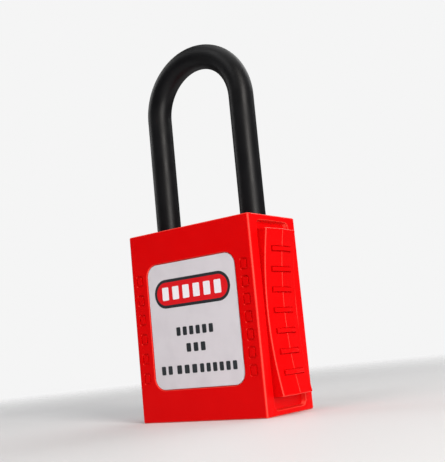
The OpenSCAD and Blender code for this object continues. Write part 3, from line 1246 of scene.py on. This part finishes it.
@dataclass
class Label:
    """A printed film label: plain bars stand where a real one has its wording, in millimetres."""

    facing: Facing
    corner: float = 2.8
    edge: float = 0.08
    print_root: float = 0.1
    print_proud: float = 0.025
    pill_up: float = 7.55
    pill_width: float = 21.2
    pill_height: float = 5.4
    pill_across: float = 0.1
    outline_line: float = 0.7
    bar_corner: float = 0.25
    # Each row of dark bars: its place across, its height above the middle, its bars and its width
    rows: tuple[tuple[float, float, int, float], ...] = (
        (0, -1.55, 6, 10.9),
        (0, -5.45, 3, 5.6),
        (-9.3, -10.35, 2, 3.3),
        (-3.2, -10.35, 3, 6.0),
        (6.0, -10.35, 6, 10.6),
    )
    row_height: float = 2.0
    plate_steps: int = 12
    round_steps: int = 24
    # The straight left in each round end, so that no two points fall together
    round_flat: float = 0.01
    # Points closer than this become one
    weld: float = 0.001
    pill_bars: int = 6
    pill_bars_width: float = 17.6
    pill_bar_height: float = 3.1
    bar_fill: float = 0.62

    def build(self, film: Material, inks: dict[str, Material]) -> dict[str, Piece]:
        """Builds the film and the print on it.

        Args:
            film: the film's material.
            inks: the materials of the dark, the red and the white ink.

        Returns:
            The film and each ink's print, by a name for each.
        """
        side = self.facing.name.lower()
        box = Box.of(f"{side}_label")
        middle, face = box.mid.z, max(abs(box.lo.y), abs(box.hi.y))
        plate = growing_box(box.size.x, box.size.z, self.corner, self.plate_steps)
        layers = [(plate(0), face - box.size.y)] + rim(plate, self.edge, face, -1)
        pieces = {"film": solid(f"{side}_film", layers, self.facing, (0, 0, middle))}
        dress(pieces["film"], film)
        hand = 1 if self.facing is Facing.FRONT else -1
        at = (hand * self.pill_across, 0, middle + self.pill_up)
        inked = (face - self.print_root + self.print_proud, face + self.print_proud)
        pieces["red"] = self.stadium("red", 0, inked, at)
        ring = self.stadium("dark", self.outline_line, inked, at)
        combine(ring, self.stadium("hole", 0, (face - PAST, face + PAST), at), Join.CUT)
        rows = [
            self.bars("dark", across, middle + up, self.row_height, count, width, face, inks["dark"])
            for across, up, count, width in self.rows
        ]
        pieces["dark"] = merge([ring, *rows])
        pieces["white"] = self.bars(
            "white", 0, at[2], self.pill_bar_height, self.pill_bars, self.pill_bars_width,
            face + self.print_proud, inks["white"],
        )
        for ink in ("dark", "red", "white"):
            pieces[ink].name = pieces[ink].data.name = f"{side}_print_{ink}"
            dress(pieces[ink], inks[ink])
        return pieces

    def stadium(self, name: str, grow: float, levels: Point, at: Place) -> Piece:
        """The lozenge with round ends, grown by a distance, from one level up to another.

        Args:
            name: the piece's name.
            grow: how much larger it is all round than the lozenge itself.
            levels: its root and its face.
            at: the lozenge's middle.

        Returns:
            The new object.
        """
        width, height = self.pill_width + 2 * grow, self.pill_height + 2 * grow
        outline = rounded(width, height, height / 2 - self.round_flat, self.round_steps)
        return solid(name, [(outline, level) for level in levels], self.facing, at)

    def bars(
        self, name: str, across: float, up: float, height: float, count: int, width: float, face: float,
        ink: Material,
    ) -> Piece:
        """A row of plain bars with round corners.

        Args:
            name: the piece's name.
            across: place of the row's middle along the label.
            up: height of the row's middle.
            height: height of the bars.
            count: how many bars stand in the row.
            width: width of the whole row.
            face: level of the surface that they are printed on.
            ink: their material.

        Returns:
            The new object.
        """
        bar = width / (count - 1 + self.bar_fill) * self.bar_fill
        half = (width - bar) / 2
        recipe = Recipe(
            "print_bars", Count=count, Low=(across - half) * MM, High=(across + half) * MM, Up=up * MM,
            Width=bar * MM, Height=height * MM, Corner=self.bar_corner * MM,
            Foot=(face - self.print_root) * MM, Thick=(self.print_root + self.print_proud) * MM,
        )
        size, put = recipe.sizes, recipe.put
        row = recipe.row(size["Count"], ("Low", "High"), "X", Y=size["Up"], Z=size["Foot"])
        flat = put("FillCurve", {"mode": "NGONS", "Curve": recipe.round_frame()})
        block = put("ExtrudeMesh", {"Individual": False, "Mesh": flat, "Offset Scale": size["Thick"]})
        both = put("JoinGeometry", block)
        recipe.tree.links.new(put("FlipFaces", flat), both.node.inputs[0])
        whole = put("MergeByDistance", {"Distance": self.weld * MM, "Geometry": both})
        piece = recipe.cook(put("InstanceOnPoints", {"Points": row, "Instance": whole}), name, ink)
        piece.data.transform(self.facing.matrix())
        return piece


def merge(pieces: Sequence[Piece]) -> Piece:
    """Joins several meshes into the first one, as separate shells of one piece.

    Args:
        pieces: the meshes to join; all but the first are removed.

    Returns:
        The first one, with all the shells.
    """
    whole = bmesh.new()
    for piece in pieces:
        whole.from_mesh(piece.data)
    whole.to_mesh(pieces[0].data)
    whole.free()
    for piece in pieces[1:]:
        bpy.data.objects.remove(piece)
    return pieces[0]


@dataclass
class Plug:
    """The turned plug with its warded keyway, in millimetres."""

    flange: float = 5.8
    flange_top: float = 1.55
    radius: float = 5.0
    groove: float = 4.3
    groove_foot: float = 25.43
    groove_head: float = 26.13
    shaft_top: float = 26.5
    tongue: tuple[float, float] = (7.0, 2.0)
    key_half: float = 1.0
    key_low: float = -4.3
    key_high: float = 1.7
    low_ward: tuple[float, float] = (0.4, -2.6)
    high_ward: tuple[float, float] = (-0.3, 0.2)
    key_top: float = 24.0
    mouth: float = 0.35
    edge: float = 0.2
    sides: int = 96
    tongue_corner: float = 0.15
    pin_count: int = 6
    pin_first: float = 5.0
    pin_pitch: float = 3.3
    pin_hole: float = 1.25
    pin_sides: int = 32
    pin_floor: float = -2.0

    def keyway(self, grow: float) -> Outline:
        """The keyway's outline with its two wards, grown by a distance.

        Args:
            grow: the distance.

        Returns:
            The outline's points, from its lower left.
        """
        left, right = -self.key_half - grow, self.key_half + grow
        low, high = self.key_low - grow, self.key_high + grow
        in_low, up_low = self.low_ward[0] + grow, self.low_ward[1] - grow
        in_high, up_high = self.high_ward[0] - grow, self.high_ward[1] + grow
        return [
            (left, low), (in_low, low), (in_low, up_low), (right, up_low),
            (right, high), (in_high, high), (in_high, up_high), (left, up_high),
        ]

    def build(self, brass: Material) -> Piece:
        """Builds the plug.

        Args:
            brass: the plug's material.

        Returns:
            The finished piece.
        """
        box = Box.of("plug")
        flange = growing_circle(self.flange, self.sides)
        foot = box.lo.z
        layers = rim(flange, self.edge, foot, -1, face=-1) + [(flange(0), self.flange_top)]
        shaft = [
            (self.radius, self.flange_top), (self.radius, self.groove_foot), (self.groove, self.groove_foot),
            (self.groove, self.groove_head), (self.radius, self.groove_head), (self.radius, self.shaft_top),
        ]
        layers += [(circle(radius, self.sides), level) for radius, level in shaft]
        piece = solid("plug_body", layers)
        tongue = rounded(*self.tongue, self.tongue_corner, 2)
        layers = [(tongue, self.shaft_top - PAST), (tongue, box.hi.z)]
        combine(piece, solid("tongue", layers), Join.ADD)
        wide, narrow = self.keyway(self.mouth), self.keyway(0)
        layers = [(wide, foot - PAST), (wide, foot), (narrow, foot + self.mouth), (narrow, self.key_top)]
        combine(piece, solid("keyway", layers), Join.CUT)
        combine(piece, self.pin_holes(brass), Join.CUT)
        dress(piece, brass)
        smooth(piece)
        return piece

    def pin_holes(self, material: Material) -> Piece:
        """The row of pin chambers to cut out.

        Args:
            material: any material, since the solid is only cut out.

        Returns:
            The solid to cut out.
        """
        head, last = self.radius + PAST, self.pin_first + (self.pin_count - 1) * self.pin_pitch
        recipe = Recipe(
            "pin_holes", Count=self.pin_count, First=self.pin_first * MM, Last=last * MM,
            Radius=self.pin_hole * MM, Depth=(head - self.pin_floor) * MM,
            Middle=(head + self.pin_floor) / 2 * MM,
        )
        size, put = recipe.sizes, recipe.put
        row = recipe.row(size["Count"], ("First", "Last"), "Z", Y=size["Middle"])
        drill = {"Vertices": self.pin_sides, "Radius": size["Radius"], "Depth": size["Depth"]}
        laid = {"Rotation": (math.pi / 2, 0, 0), "Geometry": put("MeshCylinder", drill)}
        holes = put("InstanceOnPoints", {"Points": row, "Instance": put("Transform", laid)})
        return recipe.cook(holes, recipe.name, material)


@dataclass
class PinSprings:
    """The six coil springs behind the driver pins, in millimetres."""

    count: int = 6
    turns: float = 5.0
    coil: float = 0.85
    wire: float = 0.15
    rings_per_turn: int = 24
    wire_sides: int = 8
    sharp: float = 60

    def build(self, steel: Material) -> Piece:
        """Coils one spring and sets it in each chamber.

        Args:
            steel: the wire's material.

        Returns:
            The finished piece.
        """
        first, last = Box.of("pin_spring_1"), Box.of(f"pin_spring_{self.count}")
        recipe = Recipe(
            "pin_springs", Count=self.count, Left=(first.lo.x + self.wire) * MM, First=first.mid.z * MM,
            Last=last.mid.z * MM, Length=(first.size.x - 2 * self.wire) * MM, Turns=self.turns,
            Coil=self.coil * MM, Wire=self.wire * MM,
        )
        size, put = recipe.sizes, recipe.put
        row = recipe.row(size["Count"], ("First", "Last"), "Z", X=size["Left"])
        coil = put("CurveSpiral", {
            "Resolution": self.rings_per_turn, "Rotations": size["Turns"], "Start Radius": size["Coil"],
            "End Radius": size["Coil"], "Height": size["Length"],
        })
        wire = put("CurvePrimitiveCircle", {"Resolution": self.wire_sides, "Radius": size["Wire"]})
        spring = put("CurveToMesh", {"Curve": coil, "Profile Curve": wire, "Fill Caps": True})
        laid = put("Transform", {"Rotation": (0, math.pi / 2, 0), "Geometry": spring})
        springs = put("InstanceOnPoints", {"Points": row, "Instance": laid})
        piece = recipe.cook(springs, recipe.name, steel)
        dress(piece, steel)
        smooth(piece, self.sharp)
        return piece


# ---------------------------------------------------------------- finishes of this padlock

# Red nylon from a lightly eroded mould: saturated and satin, hardly a reflection, edges painted paler as a
# highlight
CASE_NYLON = MouldedNylon(
    "moulded red nylon", "#cf0406", 0.34, worn_colour="#d70708", gloss=0.05, edge_highlight_colour="#e6483c"
)
# The cover is moulded separately and came out a shade darker
COVER_NYLON = MouldedNylon("moulded red nylon, cover", "#bb0406", 0.4, worn_colour="#c80708", gloss=0.05)
# Black nylon over the shackle: almost black with a soft highlight along the rod
SHACKLE_NYLON = MouldedNylon("moulded black nylon", "#08080a", 0.42, worn_colour="#0e0e11", gloss=0.18)
# White polyester film: slightly grey and cool, with a soft sheen that shows the peel
LABEL_FILM = PrintedFilm("white label film", "#cfcbd1", 0.42, dust_colour="#bcb8bf")
# Slate ink on the film: dark but not black, since the film shines over it
DARK_INK = PrintedFilm("dark slate ink", "#1c2126", 0.4, dust_colour="#2b3036")
# Red ink on the film: cooler and flatter than the case
RED_INK = PrintedFilm("red ink", "#d4000f", 0.38, dust_colour="#dc1822")
# Bare film left open in the red: the lightest thing on the label
WHITE_INK = PrintedFilm("bare film in the red", "#ebe8ee", 0.4, dust_colour="#dedbe2")
# Die-cast zinc: dull grey and mottled; the cam is darker, since it is oiled
CORE_ZINC = DieCast("die-cast zinc", "#b4b6ba", 0.45, metallic=1.0)
CAM_ZINC = DieCast("die-cast zinc, cam", "#a3a5aa", 0.4, metallic=1.0)
# Free-cutting brass, turned and left bare: yellow, with the tool's fine rings round the keyway
PLUG_BRASS = Turned("turned brass", "#cda64c", 0.28, metallic=1.0)
PIN_BRASS = Turned("turned brass, pins", "#d0ac58", 0.25, metallic=1.0, axis="Y")
# Turned steel: cold grey rings; plating takes the edge off them on the screw
DRIVER_STEEL = Turned("turned steel", "#b6b9bd", 0.28, metallic=1.0, tarnish_colour="#8b8d90", axis="X")
SCREW_STEEL = Turned("zinc-plated steel", "#a5a8ad", 0.33, metallic=1.0, tarnish_colour="#8f9095")
# Spring steel: bright drawn wire and strip with grey streaks
SPRING_STEEL = Drawn("drawn spring steel", "#a4a7ab", 0.3, metallic=1.0)
STRIP_BRASS = Drawn("rolled brass", "#c9a24a", 0.32, metallic=1.0, patch_colour="#9a7c3a")
# Hardened ball steel, polished: the one mirror in the lock
BALL_STEEL = Drawn("polished ball steel", "#d6d8dc", 0.12, metallic=1.0, patch_colour="#b9bbc0")

# The CAD pieces that stay as they are, with the finish of each
STAYING: dict[str, Finish] = {
    "lock_core": CORE_ZINC,
    "core_screw": SCREW_STEEL,
    "plug_clip": SPRING_STEEL,
    "cam": CAM_ZINC,
    "toe_ball": BALL_STEEL,
    "heel_ball": BALL_STEEL,
    "chamber_cover": STRIP_BRASS,
    "key_pin": PIN_BRASS,
    "driver_pin": DRIVER_STEEL,
}


def dress_staying(cache: dict[str, Material]) -> None:
    """Gives each CAD piece that stays its material.

    Args:
        cache: materials made so far, by name.
    """
    for name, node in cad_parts.items():
        finish = STAYING.get(name.rstrip("_123456"))
        if finish is None:
            continue
        if finish.name not in cache:
            cache[finish.name] = finish.material()
        node.data.materials.clear()
        node.data.materials.append(cache[finish.name])
        LOG.info("%s keeps its shape, in %s", name, finish.name)


# ---------------------------------------------------------------- the studio


@dataclass(frozen=True)
class PaintedBoard(Finish):
    """Matt painted board: the pale floor, which fades into the backdrop with nothing to catch the eye."""

    reach: float = 420.0
    fade_start: float = 0.3
    fade_full: float = 0.95
    stipple: Relief = Relief(1.5, 0.02, strength=0.2)

    def pattern(self, tree: Tree, shader: Node, place: Socket) -> None:
        """Adds the roller's stipple as bump, and clears the board towards its edge and from below.

        Args:
            tree: the material's tree.
            shader: the surface's shader.
            place: the coordinates that the pattern lies in.
        """
        self.stipple.press(tree, shader, place)
        far = add(tree, "ShaderNodeVectorMath:LENGTH", place).outputs["Value"]
        start, full = self.fade_start * self.reach * MM, self.fade_full * self.reach * MM
        settings = {"interpolation_type": "SMOOTHSTEP", "Value": far, "From Min": start, "From Max": full}
        fade = add(tree, "ShaderNodeMapRange", settings).outputs[0]
        under = add(tree, "ShaderNodeNewGeometry").outputs["Backfacing"]
        gone = add(tree, "ShaderNodeMath:MAXIMUM", fade, under).outputs[0]
        clear = add(tree, "ShaderNodeBsdfTransparent").outputs[0]
        seen = add(tree, "ShaderNodeMixShader", gone, shader.outputs[0], clear).outputs[0]
        end = next(node for node in tree.nodes if node.type == "OUTPUT_MATERIAL")
        tree.links.new(seen, end.inputs["Surface"])


@dataclass(frozen=True)
class Lamp:
    """A soft rectangular lamp, in metres and watts."""

    name: str
    at: tuple[float, float, float]
    size: tuple[float, float]
    power: float
    colour: str = "#ffffff"

    def hang(self, aim: Vector) -> None:
        """Hangs the lamp so that it shines at a point.

        Args:
            aim: the point.
        """
        light = bpy.data.lights.new(self.name, "AREA")
        light.shape = "RECTANGLE"
        light.size, light.size_y = self.size
        light.energy = self.power
        light.color = linear(self.colour)[:3]
        lamp = bpy.data.objects.new(self.name, light)
        lamp.visible_camera = False
        lamp.location = self.at
        lamp.rotation_euler = (aim - Vector(self.at)).to_track_quat("-Z", "Y").to_euler()
        bpy.context.scene.collection.objects.link(lamp)


@dataclass(frozen=True)
class Studio:
    """The pale floor, in millimetres, and the soft lamps and the camera, in metres and degrees."""

    floor_reach: float = 420.0
    floor_level: float = -0.02
    floor_steps: int = 240
    floor_lap: float = 0.6
    floor_roughness: float = 0.6
    floor_colour: str = "#d6d6d7"
    backdrop_colour: str = "#f5f5f5"
    room_light: float = 0.1
    camera_at: tuple[float, float, float] = (0.1204, -0.1547, 0.01465)
    azimuth: float = 34.85
    elevation: float = 7.42
    roll: float = -5.73
    lens: float = 63.5
    shift: tuple[float, float] = (-0.0698, 0.0276)
    clip: tuple[float, float] = (0.005, 20.0)
    lamps: tuple[Lamp, ...] = (
        Lamp("key", (0.42, -0.22, 0.2), (0.14, 0.4), 2.75, "#fffaf4"),
        Lamp("front", (-0.12, -0.42, 0.55), (0.35, 0.3), 1.2),
        Lamp("top", (0.05, 0.1, 0.6), (0.5, 0.5), 1.1),
        Lamp("left", (-0.5, -0.05, 0.3), (0.3, 0.4), 0.8),
        Lamp("back", (0.1, 0.45, 0.42), (0.5, 0.3), 1.2),
        Lamp("low", (0.4, -0.1, 0.03), (0.2, 0.08), 0.5),
        Lamp("under", (0.0, -0.05, -0.4), (0.9, 0.9), 3.2),
    )

    def build(self, aim: Vector, stand: Point) -> None:
        """Sets the floor, the backdrop, the lamps and the camera.

        Args:
            aim: the point that the lamps shine at.
            stand: how far the case's underside reaches across and along, in millimetres.
        """
        floor = self.lay_floor(stand)
        board = PaintedBoard("painted board", self.floor_colour, self.floor_roughness, reach=self.floor_reach)
        dress(floor, board.material())
        floor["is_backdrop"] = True
        for lamp in self.lamps:
            lamp.hang(aim)
        self.hang_backdrop()
        self.aim_camera()
        bpy.context.scene.view_settings.view_transform = "Standard"

    def lay_floor(self, stand: Point) -> Piece:
        """Makes a disc that is open where the case stands on it, so that light reaches the underside.

        Args:
            stand: how far the case's underside reaches across and along, in millimetres.

        Returns:
            The floor.
        """
        rays = circle(1.0, self.floor_steps)
        edge = [(self.floor_reach * u, self.floor_reach * v, self.floor_level) for u, v in rays]
        foot = []
        for u, v in rays:
            reach = min((size - self.floor_lap) / abs(part) for size, part in zip(stand, (u, v)) if part)
            foot.append((reach * u, reach * v, self.floor_level))
        count = self.floor_steps
        around = [(i, (i + 1) % count) for i in range(count)]
        return new_piece("floor", edge + foot, [(i, j, count + j, count + i) for i, j in around])

    def hang_backdrop(self) -> None:
        """Makes the room pale to the eye, and dimmer as a light."""
        world = bpy.data.worlds.new("studio")
        world.use_nodes = True
        tree = world.node_tree
        tree.nodes.clear()
        seen = add(tree, "ShaderNodeLightPath").outputs["Is Camera Ray"]
        pale = add(tree, "ShaderNodeBackground", {"Color": linear(self.backdrop_colour)}).outputs[0]
        dim = add(tree, "ShaderNodeBackground", {"Strength": self.room_light}).outputs[0]
        both = add(tree, "ShaderNodeMixShader", seen, dim, pale).outputs[0]
        add(tree, "ShaderNodeOutputWorld", both)
        bpy.context.scene.world = world

    def aim_camera(self) -> None:
        """Places the camera at its viewing angle."""
        camera = bpy.data.cameras.new("camera")
        camera.lens = self.lens
        camera.shift_x, camera.shift_y = self.shift
        camera.clip_start, camera.clip_end = self.clip
        eye = bpy.data.objects.new("camera", camera)
        turn, rise = math.radians(self.azimuth), math.radians(self.elevation)
        ahead = Vector((-math.sin(turn) * math.cos(rise), math.cos(turn) * math.cos(rise), math.sin(rise)))
        level = ahead.to_track_quat("-Z", "Y").to_matrix().to_4x4()
        tilt = Matrix.Rotation(math.radians(self.roll), 4, "Z")
        eye.matrix_world = Matrix.Translation(self.camera_at) @ level @ tilt
        bpy.context.scene.collection.objects.link(eye)
        bpy.context.scene.camera = eye


def main() -> None:
    """Builds the padlock around its frame, dresses it and sets the studio."""
    logging.basicConfig(level=logging.INFO, format="%(name)s: %(message)s")
    red = CASE_NYLON.material()
    case = Case()
    settle(case.build(red), "body", "case_nylon", "case")
    cover = Cover().build(COVER_NYLON.material(), case.peg_at)
    settle(cover, "body", "cover_nylon", "bottom_cover")
    shackle = Shackle().build(SHACKLE_NYLON.material())
    settle(shackle, "shackle", "shackle_nylon", "shackle")
    film = LABEL_FILM.material()
    inks = {"dark": DARK_INK.material(), "red": RED_INK.material(), "white": WHITE_INK.material()}
    for facing in (Facing.FRONT, Facing.BACK):
        pieces = Label(facing).build(film, inks)
        settle(pieces.pop("film"), "body", "label_film", f"{facing.name.lower()}_label")
        for piece in pieces.values():
            settle(piece, "body", "label_film")
    settle(Plug().build(PLUG_BRASS.material()), "plug", "plug_brass", "plug")
    steel = SPRING_STEEL.material()
    springs = PinSprings()
    nodes = [f"pin_spring_{i + 1}" for i in range(springs.count)]
    settle(springs.build(steel), "body", "spring_steel", *nodes)
    dress_staying({SPRING_STEEL.name: steel})
    lo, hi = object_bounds()
    Studio().build((Vector(lo) + Vector(hi)) / 2, (case.width / 2, Box.of("case").size.y / 2))
    boxes = {"cad": cad_box, "visual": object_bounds()}
    {name: [list(corner) for corner in box] for name, box in boxes.items()}


if __name__ == "__main__":
    main()
